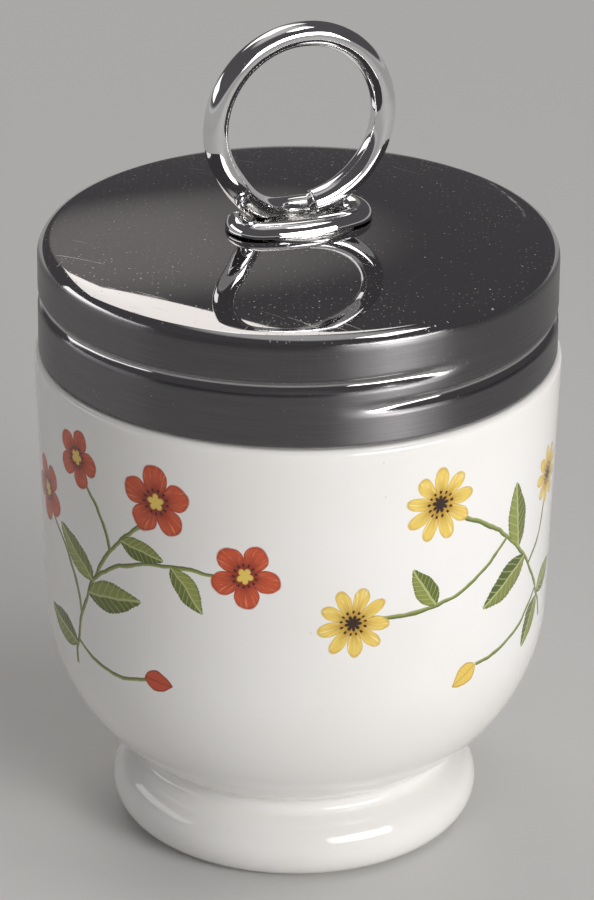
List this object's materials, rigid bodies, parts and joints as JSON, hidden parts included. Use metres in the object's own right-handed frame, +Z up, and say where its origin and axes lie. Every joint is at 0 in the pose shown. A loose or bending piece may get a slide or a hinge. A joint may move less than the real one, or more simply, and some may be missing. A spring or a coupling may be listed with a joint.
{
  "type": "porcelain egg coddler",
  "caption": "Footed porcelain cup with a raised neck thread, closed by a domed steel screw lid that carries a bent-wire lifting ring.",
  "frame": {"origin": "middle of the resting face under the foot", "axes": "+Z up along the axis of the cup and the lid"},
  "size_m": [0.061, 0.061, 0.099],
  "materials": {
    "glazed_porcelain": "glossy white glaze",
    "polished_steel": "mirror polished top, finely brushed side",
    "braze": "smooth, dull",
    "chromed_wire": "mirror chrome"
  },
  "bodies": {
    "cup": {"cup": "glazed_porcelain"},
    "lid_lift": {"braze_pad": "braze"},
    "lid": {"lid_shell": "polished_steel", "ring_handle": "chromed_wire"}
  },
  "joints": [
    {"name": "lid_rise", "type": "slide", "parent": "cup", "child": "lid_lift", "axis": [0, 0, 1], "range_m": [0, 0.01501]},
    {"name": "lid_turn", "type": "hinge", "parent": "lid_lift", "child": "lid", "pos_m": [0, 0, 0.0747], "axis": [0, 0, 1], "range_deg": [0, 1800]}
  ],
  "couplings": [
    {"joint": "lid_rise", "follows": "lid_turn", "m_per_rad": 0.00047746}
  ]
}
